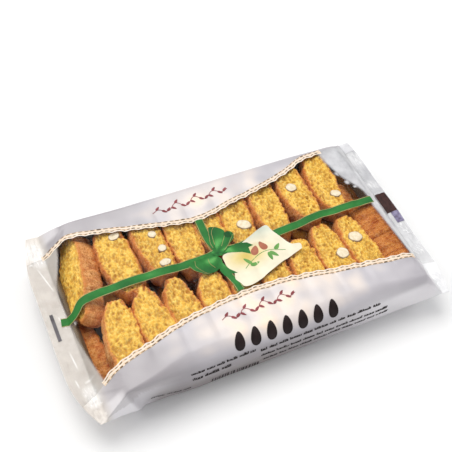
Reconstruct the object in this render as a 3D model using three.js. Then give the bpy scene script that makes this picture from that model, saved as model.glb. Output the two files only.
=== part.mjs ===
// A sealed flow-wrap pack of almond biscuit slices.
//
// A film tube is drawn round a filled tray and crimped flat at both ends.  The
// pack is one closed solid: a low box with soft long edges, two rows of slices
// pressing up through the film on top, an end slope that runs down to a crimped
// fin, and four gusset triangles where the side film is pulled out to the fin.
//
// Millimetres, +Z up.  X runs along the pack, Y across it.  The origin is under
// the middle of the pack, on the surface that it lies on.

import * as THREE from 'three';

// --- Driving dimensions -----------------------------------------------------

const PACK_HALF_LENGTH = 172; // over the two fins
const BODY_HEIGHT = 47;

// The two long sides: how far out each is, and the radius of its top edge.
const BACK_SIDE = { side: 1, halfWidth: 88, edgeRadius: 5 };
const FRONT_SIDE = { side: -1, halfWidth: 85.5, edgeRadius: 16 };

// Each end: how far its pulled top corners and the inner line of its seal are
// from the middle, the edge radius at those corners, how far the filling pushes
// the film out between them, and how far the corners of its fin are drawn back.
const LEFT_END = {
  side: -1, corner: 132, seal: 154, cornerRadius: 2, bulge: 9, tuck: { back: 9, front: 14 },
};
const RIGHT_END = {
  side: 1, corner: 148, seal: 160, cornerRadius: 8, bulge: 1, tuck: { back: 3, front: 5 },
};

const SEAL_HEIGHT = 28; // of the crimped fins above the ground
const SEAL_HALF_WIDTH = 95;
const FIN_THICKNESS = 1.2;
const FIN_EDGE = { radius: 0.1, inset: 1, upperInset: 0.3 }; // the ends of a fin's inner line
const CRIMP_DEPTH = 0.35;
const CRIMP_COUNT = 4; // ribs across one fin
const FIN_WAVE = { depth: 1.2, length: 75 };
const TUCK_START = 45; // Y from which a fin's end is drawn back

const BASE_SETBACK = 3; // from a top corner back to the end of the flat underside
const BASE_HALF_WIDTH = 81;
const LOWER_EDGE_HEIGHT = 6;
const SIDE_BULGE = 1.2;
const BEND_SOFTNESS = 2.6; // of the bend from the top film into an end slope
const EDGE_TIGHTENING = 65; // the stretch over which a long edge tightens to its corner
const TAUT_MARGIN = 45; // along each side, where the film is stretched flat again
const BASE_CURVE = 1.25; // above 1, the underside of an end rises late
const GUSSET_LENGTH = 21; // from a top corner back to where its lower crease starts
const CREASE_DROP = 0.6; // of a gusset's upper crease below the top film

// The slices under the film.  Each row lists where its slices' middles are.
const ROW_GAP = 4; // Y of the line between the two rows
const BACK_ROW = { y: 44, middles: [-128, -95, -63, -36, -9, 19, 52, 84, 117] };
const FRONT_ROW = { y: -38, middles: [-115, -86, -59, -31, -3, 26, 58, 84, 113, 137] };
const SLICE_HALF_WIDTH = 13;
const SLICE_HALF_LENGTH = 41;
const FILM_SAG = 1.2; // of the film between two slices
const BUMP = { height: 1.2, acrossPower: 3, alongPower: 6 }; // a slice's flat-topped rise

// --- Sampling ---------------------------------------------------------------

const BODY_STATIONS = 25; // from the middle to a gusset
const END_STATIONS = 6; // from there to a top corner, and from there to the seal
const CORNER_LEAD = 4; // how far short of a top corner the bend into the slope is followed
const TOP_STEPS = 20;
const EDGE_STEPS = 4;
const SIDE_STEPS = 2;
const BASE_STEPS = 4;

// --- Small helpers ----------------------------------------------------------

const endOf = (x) => (x < 0 ? LEFT_END : RIGHT_END);
const sideOf = (y) => (y < 0 ? FRONT_SIDE : BACK_SIDE);

const clamp01 = (value) => Math.min(1, Math.max(0, value));
const lerp = (a, b, t) => a + (b - a) * t;
const ramp = (a, b, value) => clamp01((value - a) / (b - a));

function smooth(t) {
  return t * t * (3 - 2 * t);
}

// Zero before `start`, then bending softly into a straight line of slope 1.
function softRamp(value, start, softness) {
  return softness * Math.log1p(Math.exp((value - start) / softness));
}

// --- Film height ------------------------------------------------------------

// 1 over the middle of a slice and 0 in the gaps round it.
function sliceBump(x, y, row, middle) {
  const across = Math.abs(x - middle) / SLICE_HALF_WIDTH;
  const along = Math.abs(y - row.y) / SLICE_HALF_LENGTH;
  return smooth(clamp01(BUMP.height - across ** BUMP.acrossPower - along ** BUMP.alongPower));
}

function filmSag(x, y) {
  const row = y > ROW_GAP ? BACK_ROW : FRONT_ROW;
  const bumps = row.middles.map((middle) => sliceBump(x, y, row, middle));
  const { halfWidth } = sideOf(y);
  const slack = smooth(ramp(halfWidth, halfWidth - TAUT_MARGIN, Math.abs(y)));
  return FILM_SAG * slack * (1 - Math.max(...bumps));
}

// How far the top film has come down its end slope: 0 on the body, 1 at the seal.
function slopeDrop(x, y) {
  const end = endOf(x);
  const outwards = clamp01(Math.abs(y) / sideOf(y).halfWidth);
  const start = end.corner + end.bulge * (1 - outwards ** 2);
  const drop = softRamp(Math.abs(x), start, BEND_SOFTNESS) / softRamp(end.seal, start, BEND_SOFTNESS);
  return clamp01(drop);
}

function topHeight(x, y) {
  const drop = slopeDrop(x, y);
  const crest = BODY_HEIGHT - filmSag(x, y) * (1 - drop);
  return lerp(crest, SEAL_HEIGHT + FIN_THICKNESS / 2, drop);
}

function baseHeight(x) {
  const end = endOf(x);
  const rise = ramp(end.corner - BASE_SETBACK, end.seal, Math.abs(x));
  return (SEAL_HEIGHT - FIN_THICKNESS / 2) * rise ** BASE_CURVE;
}

// --- One cross-section ------------------------------------------------------

// The quarter-round of a long top edge, `inset` in from the side of the film.
function edgeDrop(inset, radius) {
  const reach = Math.max(0, radius - inset);
  return radius - Math.sqrt(Math.max(0, radius * radius - reach * reach));
}

// One side of a section: how far out the top film's edge, the gusset's upper
// crease, its lower crease and the underside's edge are, each with its height.
function sideOutline(x, { side, halfWidth, edgeRadius }) {
  const distance = Math.abs(x);
  const { corner, seal, cornerRadius } = endOf(x);
  const toSeal = ramp(corner, seal, distance);
  const gusset = ramp(corner - GUSSET_LENGTH, seal, distance);
  const toCorner = ramp(corner - GUSSET_LENGTH, corner, distance);
  const tightening = smooth(ramp(corner - EDGE_TIGHTENING, corner, distance));
  const bodyRadius = lerp(edgeRadius, cornerRadius, tightening);
  const radius = lerp(bodyRadius, FIN_EDGE.radius, toSeal);

  const topY = lerp(halfWidth, SEAL_HALF_WIDTH - FIN_EDGE.inset, toSeal);
  const topZ = topHeight(x, side * topY) - radius;
  const bodyUpperY = halfWidth + SIDE_BULGE * (1 - toCorner);
  const upperY = lerp(bodyUpperY, SEAL_HALF_WIDTH - FIN_EDGE.upperInset, toSeal);
  const bodyUpperZ = lerp(BODY_HEIGHT / 2, topZ - CREASE_DROP, toCorner);
  const upperZ = lerp(bodyUpperZ, SEAL_HEIGHT + FIN_THICKNESS / 4, toSeal);
  const lowerY = lerp(halfWidth, SEAL_HALF_WIDTH, gusset);
  const lowerZ = lerp(LOWER_EDGE_HEIGHT, SEAL_HEIGHT - FIN_THICKNESS / 4, gusset);
  const baseY = lerp(BASE_HALF_WIDTH, SEAL_HALF_WIDTH - FIN_EDGE.inset, toSeal);

  return {
    side,
    radius,
    top: [topY, topZ],
    upper: [upperY, upperZ],
    lower: [lowerY, lowerZ],
    base: [baseY, baseHeight(x)],
  };
}

// How far out the top film is still flat, on one side.
function flatEdge(outline) {
  return outline.top[0] - Math.max(outline.radius, 1);
}

// The rounded edge of the top film on one side, from its outermost point inwards.
function edgeRow(x, outline) {
  const [edgeY] = outline.top;
  const points = [];
  for (let i = 0; i < EDGE_STEPS; i += 1) {
    const angle = (Math.PI / 2) * (i / EDGE_STEPS);
    const y = lerp(edgeY, flatEdge(outline), 1 - Math.cos(angle));
    const drop = edgeDrop(edgeY - y, outline.radius);
    points.push([outline.side * y, topHeight(x, outline.side * y) - drop]);
  }
  return points;
}

// The top film between its two rounded edges, from the back to the front.
function topRow(x, back, front) {
  const points = [];
  for (let i = 0; i <= TOP_STEPS; i += 1) {
    const y = lerp(flatEdge(back), -flatEdge(front), i / TOP_STEPS);
    const outline = y < 0 ? front : back;
    const drop = edgeDrop(outline.top[0] - Math.abs(y), outline.radius);
    points.push([y, topHeight(x, y) - drop]);
  }
  return points;
}

// Points strictly between the corners of the side outline, then its last corner.
function sideRow(outline) {
  const corners = [outline.top, outline.upper, outline.lower, outline.base];
  const points = [];
  for (let i = 1; i < corners.length; i += 1) {
    for (let step = 1; step <= SIDE_STEPS; step += 1) {
      const t = step / SIDE_STEPS;
      const y = lerp(corners[i - 1][0], corners[i][0], t);
      const z = lerp(corners[i - 1][1], corners[i][1], t);
      points.push([outline.side * y, z]);
    }
  }
  return points;
}

// The underside, from the front to the back, without its two edges.
function baseRow(outline) {
  const [edgeY, edgeZ] = outline.base;
  const points = [];
  for (let i = 1; i < BASE_STEPS; i += 1) {
    points.push([lerp(-edgeY, edgeY, i / BASE_STEPS), edgeZ]);
  }
  return points;
}

// The closed ring of one cross-section, from the back edge over the top, down
// the front, along the underside and up the back.
function section(x) {
  const back = sideOutline(x, BACK_SIDE);
  const front = sideOutline(x, FRONT_SIDE);
  const top = [...edgeRow(x, back), ...topRow(x, back, front), ...edgeRow(x, front).reverse()];
  return [...top, ...sideRow(front), ...baseRow(back), ...sideRow(back).reverse()];
}

// --- Stations along the pack ------------------------------------------------

// Places along one end, from the middle outwards, without the middle itself.
function endStations({ side, corner, seal }) {
  const stops = [
    [0, 0],
    [corner - GUSSET_LENGTH, BODY_STATIONS],
    [corner - CORNER_LEAD, END_STATIONS],
    [seal, END_STATIONS],
    [PACK_HALF_LENGTH, CRIMP_COUNT * 2],
  ];
  const places = [];
  for (let i = 1; i < stops.length; i += 1) {
    const [reach, steps] = stops[i];
    for (let step = 1; step <= steps; step += 1) {
      places.push(side * lerp(stops[i - 1][0], reach, step / steps));
    }
  }
  return places;
}

function stations() {
  return [...endStations(LEFT_END).reverse(), 0, ...endStations(RIGHT_END)];
}

// The drawn-back corners and the wave of a fin, added to a point of a section.
function shapeFin(x, y, z) {
  const { side, seal, tuck } = endOf(x);
  const onFin = ramp(seal, PACK_HALF_LENGTH, Math.abs(x));
  const pull = y > 0 ? tuck.back : tuck.front;
  const towardsCorner = ramp(TUCK_START, SEAL_HALF_WIDTH, Math.abs(y));
  const wave = FIN_WAVE.depth * Math.sin((2 * Math.PI * y) / FIN_WAVE.length + side);
  return [x - side * pull * towardsCorner ** 2 * onFin, y, z + wave * onFin];
}

// Which way a rib of the crimped seal stands at a station: 1, -1 or, off it, 0.
function crimpSign(x) {
  const { seal } = endOf(x);
  const rib = Math.round(ramp(seal, PACK_HALF_LENGTH, Math.abs(x)) * CRIMP_COUNT * 2);
  if (rib === 0) return 0;
  return rib % 2 === 0 ? 1 : -1;
}

function packGeometry() {
  const positions = [];
  const indices = [];
  const xs = stations();
  const ringSize = section(0).length;

  for (const x of xs) {
    const ribHeight = crimpSign(x) * CRIMP_DEPTH;
    for (const [y, z] of section(x)) {
      positions.push(...shapeFin(x, y, z + ribHeight));
    }
  }
  for (let i = 0; i < xs.length - 1; i += 1) {
    for (let j = 0; j < ringSize; j += 1) {
      const next = (j + 1) % ringSize;
      const a = i * ringSize + j;
      const b = i * ringSize + next;
      const c = a + ringSize;
      const d = b + ringSize;
      indices.push(a, b, d, a, d, c);
    }
  }
  closeEnd(positions, indices, 0, ringSize, false);
  closeEnd(positions, indices, (xs.length - 1) * ringSize, ringSize, true);

  const geometry = new THREE.BufferGeometry();
  geometry.setAttribute('position', new THREE.Float32BufferAttribute(positions, 3));
  geometry.setIndex(indices);
  geometry.computeVertexNormals();
  return geometry;
}

// The cut edge of a fin: a strip of triangles between the upper and lower film.
function closeEnd(positions, indices, first, ringSize, atRight) {
  const at = (k) => first + ((k + ringSize) % ringSize);
  const push = (a, b, c) => (atRight ? indices.push(a, b, c) : indices.push(a, c, b));
  let upper = 0;
  let lower = ringSize - 1;
  const yOf = (vertex) => positions[vertex * 3 + 1];
  while (upper + 1 < lower) {
    if (yOf(at(upper + 1)) > yOf(at(lower - 1))) {
      push(at(upper), at(upper + 1), at(lower));
      upper += 1;
    } else {
      push(at(upper), at(lower - 1), at(lower));
      lower -= 1;
    }
  }
}

// --- The pack ---------------------------------------------------------------

function buildPack() {
  const film = new THREE.MeshStandardMaterial({ color: 0xe4dfe2, roughness: 0.28, metalness: 0 });
  const pack = new THREE.Mesh(packGeometry(), film);
  pack.name = 'pack';
  return pack;
}

const group = new THREE.Group();
group.name = 'biscuit_pack';
group.add(buildPack());

export default group;
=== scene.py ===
import math
import random

import bpy
import numpy as np
from mathutils import Matrix, Vector, noise
from mathutils.geometry import delaunay_2d_cdt


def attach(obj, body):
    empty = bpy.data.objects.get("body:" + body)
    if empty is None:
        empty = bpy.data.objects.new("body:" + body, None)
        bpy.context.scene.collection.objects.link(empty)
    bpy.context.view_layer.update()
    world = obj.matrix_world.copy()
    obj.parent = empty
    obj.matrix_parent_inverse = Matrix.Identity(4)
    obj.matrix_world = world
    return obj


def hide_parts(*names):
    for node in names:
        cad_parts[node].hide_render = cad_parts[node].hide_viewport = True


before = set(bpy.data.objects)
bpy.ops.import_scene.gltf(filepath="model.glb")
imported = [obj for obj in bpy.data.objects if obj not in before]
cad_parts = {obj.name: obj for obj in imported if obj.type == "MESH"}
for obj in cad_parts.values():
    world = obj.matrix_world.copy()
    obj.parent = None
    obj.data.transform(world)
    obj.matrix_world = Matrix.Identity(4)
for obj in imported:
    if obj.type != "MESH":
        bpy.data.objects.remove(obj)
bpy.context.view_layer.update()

# A flow-wrapped pack of almond biscuit slices.  Sizes are millimetres until a
# mesh is made, and MM turns them into metres there.

MM = 0.001

# --- The pack's driving sizes, as in the part's own source -------------------

PACK_HALF_LENGTH = 172.0
BODY_HEIGHT = 47.0
BACK_SIDE = {"half_width": 88.0, "edge_radius": 5.0}
FRONT_SIDE = {"half_width": 85.5, "edge_radius": 16.0}
LEFT_END = {
    "side": -1, "corner": 132.0, "seal": 154.0, "corner_radius": 2.0, "bulge": 9.0,
    "tuck_back": 9.0, "tuck_front": 14.0,
}
RIGHT_END = {
    "side": 1, "corner": 148.0, "seal": 160.0, "corner_radius": 8.0, "bulge": 1.0,
    "tuck_back": 3.0, "tuck_front": 5.0,
}
SEAL_HEIGHT = 28.0
SEAL_HALF_WIDTH = 95.0
BASE_SETBACK = 3.0
BASE_HALF_WIDTH = 81.0
LOWER_EDGE_HEIGHT = 6.0
SIDE_BULGE = 1.2
GUSSET_LENGTH = 21.0
BEND_SOFTNESS = 2.6
EDGE_TIGHTENING = 65.0
TUCK_START = 45.0
FIN_WAVE_DEPTH = 1.2
FIN_WAVE_LENGTH = 75.0
ROW_GAP = 4.0
BACK_ROW = (44.0, (-128, -95, -63, -36, -9, 19, 52, 84, 117))  # y, and each slice's x
FRONT_ROW = (-38.0, (-115, -86, -59, -31, -3, 26, 58, 84, 113, 137))
SLICE_HALF_WIDTH = 13.0
SLICE_HALF_LENGTH = 41.0
FILM_SAG = 1.2
TAUT_MARGIN = 45.0

# The film as it is drawn here: how far its crest stays under the solid's, how
# thick its two fused layers look at a fin, and its fine crimp.
FILM_MARGIN = 0.7
FIN_GAP = 0.25
CRIMP_PITCH = 2.2
CRIMP_DEPTH = 0.012

# --- Small helpers ------------------------------------------------------------


def ramp(low, high, value):
    """The share of the way from low to high, held at 0 and 1 beyond them."""
    return np.clip((value - low) / (np.asarray(high) - low), 0.0, 1.0)


def smooth(share):
    return share * share * (3.0 - 2.0 * share)


def ease(low, high, value):
    """A ramp with soft ends."""
    return smooth(ramp(low, high, value))


def lerp(a, b, share):
    return a + (b - a) * share


def soft_ramp(value, start, softness):
    return softness * np.log1p(np.exp(np.clip((value - start) / softness, -40.0, 40.0)))


def spot(x, y, centre_x, centre_y, radius):
    """1 round a centre, fading to 0 at the radius."""
    return ease(radius, 0.4 * radius, np.hypot(x - centre_x, y - centre_y))


def noise_at(x, y, z):
    return noise.noise(Vector((x, y, z)))


def noise_values(points, offset):
    """The noise at each of the points, all moved by the offset."""
    return np.array([noise.noise(Vector(point) + offset) for point in points])


def end_value(x, name):
    """The left or right end's value of that name, for each x."""
    return np.where(np.asarray(x) < 0, LEFT_END[name], RIGHT_END[name])


def side_value(y, name):
    """The back or front side's value of that name, for each y."""
    return np.where(np.asarray(y) < 0, FRONT_SIDE[name], BACK_SIDE[name])


def smooth_curve(points, xs):
    """A smooth curve through (x, y) points, read at xs."""
    px, py = np.array(points, float).T
    slopes = np.gradient(py, px)
    xs = np.clip(xs, px[0], px[-1])
    index = np.clip(np.searchsorted(px, xs) - 1, 0, len(px) - 2)
    width = px[index + 1] - px[index]
    t = (xs - px[index]) / width
    rise = py[index + 1] - py[index]
    bend_in = slopes[index] * width - rise
    bend_out = rise - slopes[index + 1] * width
    return py[index] + t * rise + t * (1 - t) * ((1 - t) * bend_in + t * bend_out)


def unit(vectors):
    return vectors / np.maximum(np.linalg.norm(vectors, axis=1, keepdims=True), 1e-9)


def sideways(path):
    """Unit vectors to the left of a flat path, at each of its points."""
    tangent = unit(np.gradient(path, axis=0))
    return np.column_stack([-tangent[:, 1], tangent[:, 0]])


def lengths_along(path):
    """How far along the path each of its points lies."""
    return np.concatenate([[0.0], np.cumsum(np.linalg.norm(np.diff(path, axis=0), axis=1))])


def walk(path, lengths, ways):
    """The points that lie each of the ways along a path of those lengths."""
    return np.column_stack([np.interp(ways, lengths, column) for column in path.T])


def segment_distance(x, y, start, end):
    """How far (x, y) is from a segment, and the share along it of its nearest point."""
    dx, dy = end[0] - start[0], end[1] - start[1]
    share = np.clip(((x - start[0]) * dx + (y - start[1]) * dy) / (dx * dx + dy * dy), 0.0, 1.0)
    return np.hypot(x - start[0] - share * dx, y - start[1] - share * dy), share


def grid_faces(rows, columns):
    """Quads of a grid of vertices stored row after row."""
    size = columns + 1
    starts = (i * size + j for i in range(rows) for j in range(columns))
    return [(a, a + 1, a + size + 1, a + size) for a in starts]


def ring_faces(rings, size, first=0):
    """Quads between closed rings of vertices stored one after another."""
    faces = []
    for start in range(first, first + (rings - 1) * size, size):
        for m in range(size):
            a, b = start + m, start + (m + 1) % size
            faces.append((a, b, b + size, a + size))
    return faces


def link_object(name, data):
    obj = bpy.data.objects.new(name, data)
    bpy.context.scene.collection.objects.link(obj)
    return obj


def new_object(name, vertices, faces, material, attributes=None):
    """A mesh object from millimetre vertices, with float attributes per vertex."""
    mesh = bpy.data.meshes.new(name)
    mesh.from_pydata((np.asarray(vertices, float) * MM).tolist(), [], faces)
    mesh.validate()
    for attribute, values in (attributes or {}).items():
        layer = mesh.attributes.new(attribute, "FLOAT", "POINT")
        layer.data.foreach_set("value", np.asarray(values, np.float32))
    mesh.shade_smooth()
    mesh.materials.append(material)
    return link_object(name, mesh)


def add_piece(obj, replaces=False):
    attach(obj, "root")
    if replaces:
        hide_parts("pack")


class MeshPile:
    """Vertices, faces and attributes of many small shapes, joined as one mesh."""

    def __init__(self):
        self.vertices, self.faces, self.attributes = [], [], {}

    def add(self, vertices, faces, **attributes):
        first = len(self.vertices)
        self.vertices.extend(np.asarray(vertices, float).tolist())
        self.faces.extend([[first + i for i in face] for face in faces])
        for name, values in attributes.items():
            self.attributes.setdefault(name, []).extend(np.asarray(values, float).tolist())

    def build(self, name, material):
        return new_object(name, self.vertices, self.faces, material, self.attributes)


# --- Materials ----------------------------------------------------------------


def linear(color):
    """The shader's linear values of a colour given as hex screen values."""
    if not isinstance(color, str):
        return color
    channels = [int(color[k : k + 2], 16) / 255.0 for k in (0, 2, 4)]
    return [c / 12.92 if c <= 0.04045 else ((c + 0.055) / 1.055) ** 2.4 for c in channels]


class Nodes:
    """Short names for building a node material."""

    def __init__(self, name):
        self.material = bpy.data.materials.new(name)
        self.material.use_nodes = True
        self.tree = self.material.node_tree
        self.shader = self.tree.nodes["Principled BSDF"]

    def add(self, kind, **settings):
        node = self.tree.nodes.new("ShaderNode" + kind)
        for name, value in settings.items():
            if hasattr(node, name):
                setattr(node, name, value)
            else:
                node.inputs[name.replace("_", " ")].default_value = value
        return node

    def put(self, value, socket):
        """Links an output to the socket, or sets it to a number or a hex colour."""
        if isinstance(value, bpy.types.NodeSocket):
            self.tree.links.new(value, socket)
        else:
            socket.default_value = (*linear(value), 1.0) if isinstance(value, str) else value

    def noise(self, scale, detail=3.0, roughness=0.5):
        node = self.add("TexNoise", Scale=scale, Detail=detail, Roughness=roughness)
        self.put(self.add("TexCoord").outputs["Object"], node.inputs["Vector"])
        return node.outputs["Fac"]

    def attribute(self, name):
        return self.add("Attribute", attribute_name=name).outputs["Fac"]

    def ramp(self, factor, *stops):
        node = self.add("ValToRGB")
        elements = node.color_ramp.elements
        while len(elements) < len(stops):
            elements.new(0.5)
        for element, (place, color) in zip(elements, stops):
            element.position = place
            element.color = (*linear(color), 1.0)
        self.put(factor, node.inputs["Fac"])
        return node.outputs["Color"]

    def mix(self, factor, a, b, blend="MIX"):
        node = self.add("Mix", data_type="RGBA", blend_type=blend)
        for value, place in ((factor, 0), (a, 6), (b, 7)):
            self.put(value, node.inputs[place])
        return node.outputs[2]

    def math(self, operation, a, b):
        node = self.add("Math", operation=operation)
        self.put(a, node.inputs[0])
        self.put(b, node.inputs[1])
        return node.outputs[0]

    def mix_shaders(self, factor, a, b):
        node = self.add("MixShader")
        for value, socket in zip((factor, a, b), node.inputs):
            self.put(value, socket)
        return node.outputs[0]

    def bump(self, height, strength, distance, *others):
        """Bumps the shader's surface, and that of any other shader nodes given."""
        node = self.add("Bump", Strength=strength, Distance=distance)
        self.put(height, node.inputs["Height"])
        for shader in (self.shader, *others):
            self.put(node.outputs["Normal"], shader.inputs["Normal"])

    def surface(self, color, **settings):
        """Gives the shader its colour and plain settings, and returns the material."""
        self.put(color, self.shader.inputs["Base Color"])
        for name, value in settings.items():
            self.shader.inputs[name.replace("_", " ")].default_value = value
        return self.material


def biscuit_material(name, tone="ffffff"):
    """Crumb on the cut face with painted shade in its pits, and a speckled baked crust."""
    n = Nodes(name)
    grain = n.noise(430.0, 4.0, 0.7)
    crumb = n.ramp(grain, (0.30, "dea036"), (0.48, "f4c554"), (0.68, "ffe682"))
    crumb = n.mix(n.attribute("edge"), crumb, "e2963e")
    # Painted shade: the crumb darkens in its pits.
    crumb = n.mix(n.attribute("pit_shade"), crumb, "a86a22")
    speckles = n.noise(700.0, 3.0, 0.7)
    crust = n.ramp(speckles, (0.34, "c47a3a"), (0.46, "e4a05a"), (0.66, "f6c482"))
    toasted = n.ramp(n.noise(160.0, 3.0, 0.6), (0.45, "ffffff"), (0.75, "c89268"))
    crust = n.mix(1.0, crust, toasted, "MULTIPLY")
    crust = n.mix(n.attribute("rim"), crust, "d4823c")
    color = n.mix(1.0, n.mix(n.attribute("crust"), crumb, crust), tone, "MULTIPLY")
    n.bump(n.math("ADD", grain, n.noise(1500.0, 2.0, 0.6)), 0.6, 0.0007)
    return n.surface(color, Roughness=0.8, Specular_IOR_Level=0.2)


def almond_material():
    n = Nodes("almond")
    flesh = n.ramp(n.noise(380.0), (0.3, "decdaa"), (0.7, "f3e8d0"))
    skin = n.mix(n.noise(900.0, 2.0), "6c4c2c", "96724c")
    n.bump(n.noise(1200.0, 2.0), 0.3, 0.0004)
    return n.surface(n.mix(n.attribute("skin"), flesh, skin), Roughness=0.55)


def end_tone(n):
    """Milky film at the pack's ends: warmer at the left, darker and streaky on
    the fins, and white with painted highlights on its creases."""
    streaks = n.noise(70.0, 4.0, 0.65)
    left_fin = n.ramp(streaks, (0.35, "c6beb6"), (0.65, "dad3cb"))
    left = n.mix(n.attribute("end"), "d4cdc6", left_fin)
    right = n.ramp(streaks, (0.35, "bababe"), (0.65, "dadadd"))
    # Painted highlight: the crease attribute mixes the film towards near white.
    return n.mix(n.attribute("crease"), n.mix(n.attribute("left"), right, left), "f6f6f6")


def white_film_material():
    """White printed film with painted glow: lighter and warmer where a slice lies right under it."""
    n = Nodes("white_film")
    # The painted glow, with a little random tone from the noise.
    tint = n.math("ADD", n.attribute("glow"), n.math("MULTIPLY", n.noise(24.0, 2.0), 0.2))
    body = n.ramp(tint, (0.08, "a29ea4"), (0.35, "bab6bb"), (0.7, "dcd1ca"), (1.0, "f0d9c4"))
    # Painted light: the lit facets and flank ends are mixed towards near white.
    body = n.mix(n.math("MULTIPLY", n.attribute("painted_light"), 0.85), body, "f0edf0")
    body = n.mix(n.attribute("end"), body, end_tone(n))
    body = n.mix(n.attribute("shade"), body, "827976")
    n.bump(n.noise(60.0), 0.25, 0.002)
    return n.surface(body, Roughness=0.36, Specular_IOR_Level=0.4, Coat_Weight=0.2, Coat_Roughness=0.1)


def clear_film_material():
    """Thin clear film with a soft gloss, turning milky past the window's ends."""
    n = Nodes("clear_film")
    gloss = n.add("BsdfGlossy", Roughness=0.16)
    clear = n.add("BsdfTransparent", Color=(0.985, 0.985, 0.985, 1.0))
    facing = n.math("MULTIPLY", n.add("Fresnel", IOR=1.3).outputs[0], 0.35)
    film = n.mix_shaders(facing, clear.outputs[0], gloss.outputs[0])
    mixed = n.mix_shaders(n.attribute("milk"), film, n.shader.outputs[0])
    n.put(mixed, n.tree.nodes["Material Output"].inputs["Surface"])
    n.bump(n.noise(45.0), 0.3, 0.002, gloss)
    return n.surface(end_tone(n), Roughness=0.3, Coat_Weight=0.6, Coat_Roughness=0.06)


def tray_material():
    n = Nodes("tray")
    tone = n.ramp(n.noise(40.0, 2.0), (0.3, "685844"), (0.7, "8c7c66"))
    n.bump(n.noise(90.0, 2.0), 0.2, 0.001)
    return n.surface(tone, Roughness=0.45, Specular_IOR_Level=0.3, Alpha=0.7)


def ink_material(name, dark, light, scale=120.0):
    n = Nodes(name)
    tone = n.ramp(n.noise(scale, 2.0), (0.3, dark), (0.7, light))
    return n.surface(tone, Roughness=0.5, Specular_IOR_Level=0.2)


def tag_material():
    n = Nodes("ink_tag")
    tint = n.ramp(n.attribute("shine"), (0.0, "dac060"), (0.5, "eae2c8"), (1.0, "c8cebe"))
    paper = n.ramp(n.noise(90.0, 2.0), (0.3, "f0f0ee"), (0.7, "ffffff"))
    return n.surface(n.mix(1.0, tint, paper, "MULTIPLY"), Roughness=0.45)


def ribbon_material():
    """Printed green satin: a lighter streak runs where the attribute shine says."""
    n = Nodes("ribbon_green")
    shine = n.attribute("shine")
    satin = n.ramp(shine, (0.0, "0a3e1a"), (0.35, "1c662a"), (0.7, "2e8036"), (1.0, "5ca858"))
    weave = n.ramp(n.noise(300.0, 2.0), (0.3, "e4ece2"), (0.7, "ffffff"))
    return n.surface(n.mix(1.0, satin, weave, "MULTIPLY"), Roughness=0.6, Specular_IOR_Level=0.25)


# --- The film's shape -----------------------------------------------------------


def slice_bump(x, y, row_y, middle):
    across = np.abs(x - middle) / SLICE_HALF_WIDTH
    along = np.abs(y - row_y) / SLICE_HALF_LENGTH
    return smooth(np.clip(1.2 - across**3 - along**6, 0.0, 1.0))


def slice_cover(x, y):
    """1 where a slice lies right under the film and 0 in the gaps."""
    back, front = (
        np.max([slice_bump(x, y, row_y, middle) for middle in middles], axis=0)
        for row_y, middles in (BACK_ROW, FRONT_ROW)
    )
    return np.where(y > ROW_GAP, back, front)


def slope_drop(x, y):
    corner, seal, bulge = (end_value(x, key) for key in ("corner", "seal", "bulge"))
    start = corner + bulge * (1.0 - np.clip(np.abs(y) / side_value(y, "half_width"), 0.0, 1.0) ** 2)
    full = soft_ramp(seal, start, BEND_SOFTNESS)
    return np.clip(soft_ramp(np.abs(x), start, BEND_SOFTNESS) / full, 0.0, 1.0)


def top_height(x, y):
    """The top film, without wrinkles."""
    x, y = np.asarray(x, float), np.asarray(y, float)
    drop = slope_drop(x, y)
    half_width = side_value(y, "half_width")
    slack = ease(half_width, half_width - TAUT_MARGIN, np.abs(y))
    crest = BODY_HEIGHT - FILM_MARGIN - FILM_SAG * slack * (1.0 - slice_cover(x, y)) * (1.0 - drop)
    return lerp(crest, SEAL_HEIGHT + FIN_GAP, drop)


def base_height(x):
    rise = ramp(end_value(x, "corner") - BASE_SETBACK, end_value(x, "seal"), np.abs(x))
    return (SEAL_HEIGHT - FIN_GAP) * rise**1.25


def edge_radius(x, y):
    """Radius of the long top edge beside (x, y); it changes to the pulled corners'."""
    corner, seal, corner_radius = (end_value(x, key) for key in ("corner", "seal", "corner_radius"))
    tightening = ease(corner - EDGE_TIGHTENING, corner, np.abs(x))
    body_radius = lerp(side_value(y, "edge_radius"), corner_radius, tightening)
    return lerp(body_radius, 0.1, ramp(corner, seal, np.abs(x)))


def round_off(inset, radius):
    """How far a rounded edge has dropped, `inset` in from the side."""
    reach = np.clip(radius - inset, 0.0, radius)
    return radius - np.sqrt(radius**2 - reach**2)


def ceiling(x, y):
    """The film over the slices, with its rounded long edges."""
    return top_height(x, y) - round_off(side_value(y, "half_width") - np.abs(y), edge_radius(x, y))


def side_outline(x, side):
    """The long top edge's radius, and the (y, z) corners from it to the underside."""
    distance = abs(x)
    half_width = float(side_value(side, "half_width"))
    corner, seal = float(end_value(x, "corner")), float(end_value(x, "seal"))
    to_seal = ramp(corner, seal, distance)
    gusset = ramp(corner - GUSSET_LENGTH, seal, distance)
    to_corner = ramp(corner - GUSSET_LENGTH, corner, distance)
    radius = float(edge_radius(x, side))
    top_y = lerp(half_width, SEAL_HALF_WIDTH - 1.0, to_seal)
    top_z = float(top_height(x, side * top_y)) - radius
    upper_y = lerp(half_width + SIDE_BULGE * (1 - to_corner), SEAL_HALF_WIDTH - 0.3, to_seal)
    upper_z = lerp(lerp(BODY_HEIGHT / 2, top_z - 0.6, to_corner), SEAL_HEIGHT + FIN_GAP / 2, to_seal)
    lower_y = lerp(half_width, SEAL_HALF_WIDTH, gusset)
    lower_z = lerp(LOWER_EDGE_HEIGHT, SEAL_HEIGHT - FIN_GAP / 2, gusset)
    base_y = lerp(BASE_HALF_WIDTH, SEAL_HALF_WIDTH - 1.0, to_seal)
    base_z = float(base_height(x))
    return radius, [(top_y, top_z), (upper_y, upper_z), (lower_y, lower_z), (base_y, base_z)]


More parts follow.
